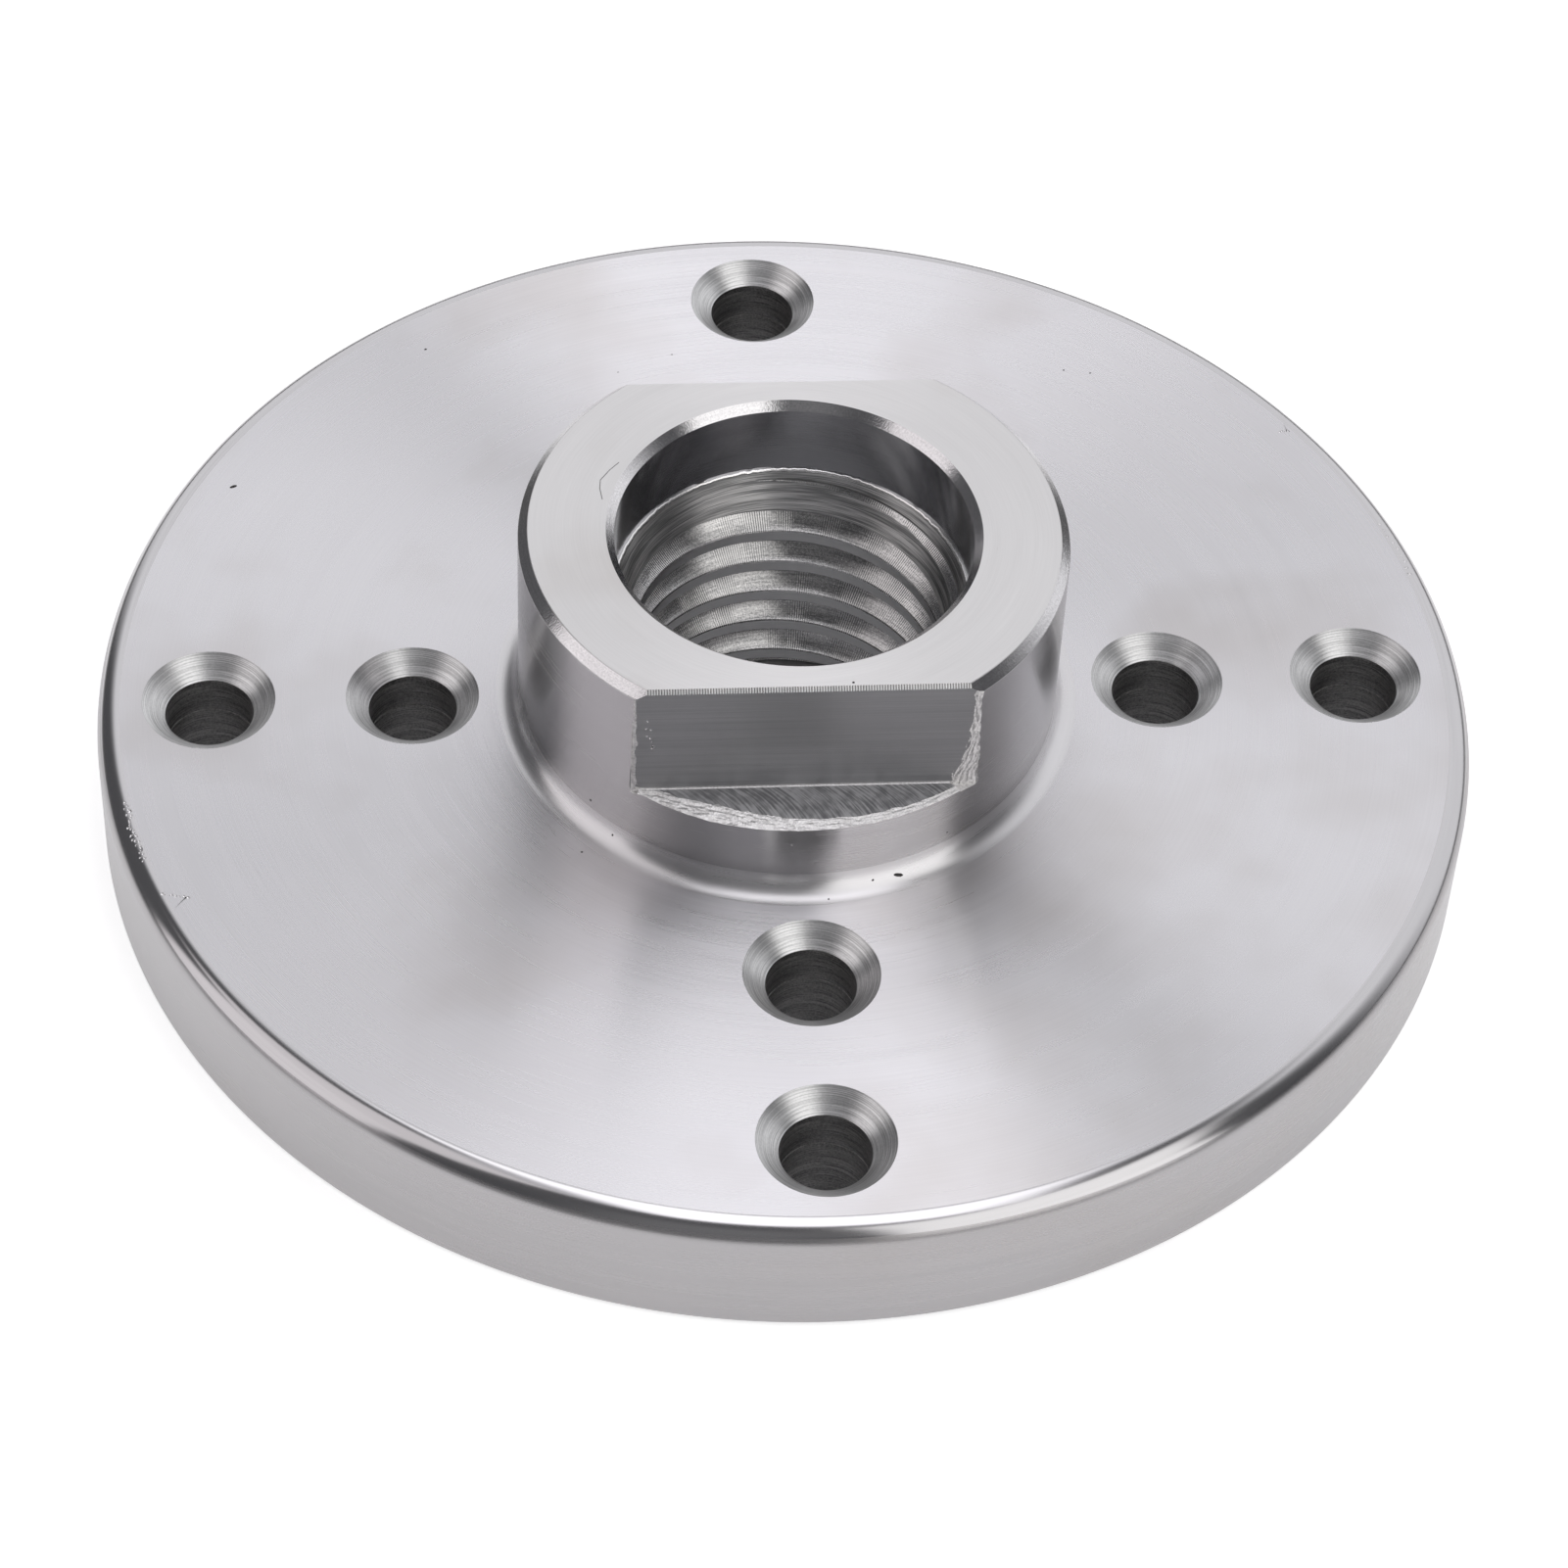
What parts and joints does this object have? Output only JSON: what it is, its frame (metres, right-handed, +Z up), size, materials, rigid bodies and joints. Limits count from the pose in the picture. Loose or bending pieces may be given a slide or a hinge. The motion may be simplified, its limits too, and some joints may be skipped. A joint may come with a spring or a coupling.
{
  "type": "lathe faceplate adapter",
  "caption": "Round steel lathe faceplate with countersunk screw holes and a hub with wrench flats, bored and threaded to screw onto a lathe spindle.",
  "frame": {"origin": "centre of the flat work face, which the part rests on (the flange's side away from the hub)", "axes": "+Z up along the spindle axis, from the work face to the hub's shoulder; the screw holes lie on +X, +Y, -X and -Y; the two wrench flats face +Y and -Y"},
  "size_m": [0.1016, 0.1016, 0.0264],
  "materials": {
    "machined_steel": "bright turned and milled steel, unplated, with fine concentric tool marks"
  },
  "bodies": {
    "root": {"faceplate": "machined_steel"}
  },
  "joints": []
}
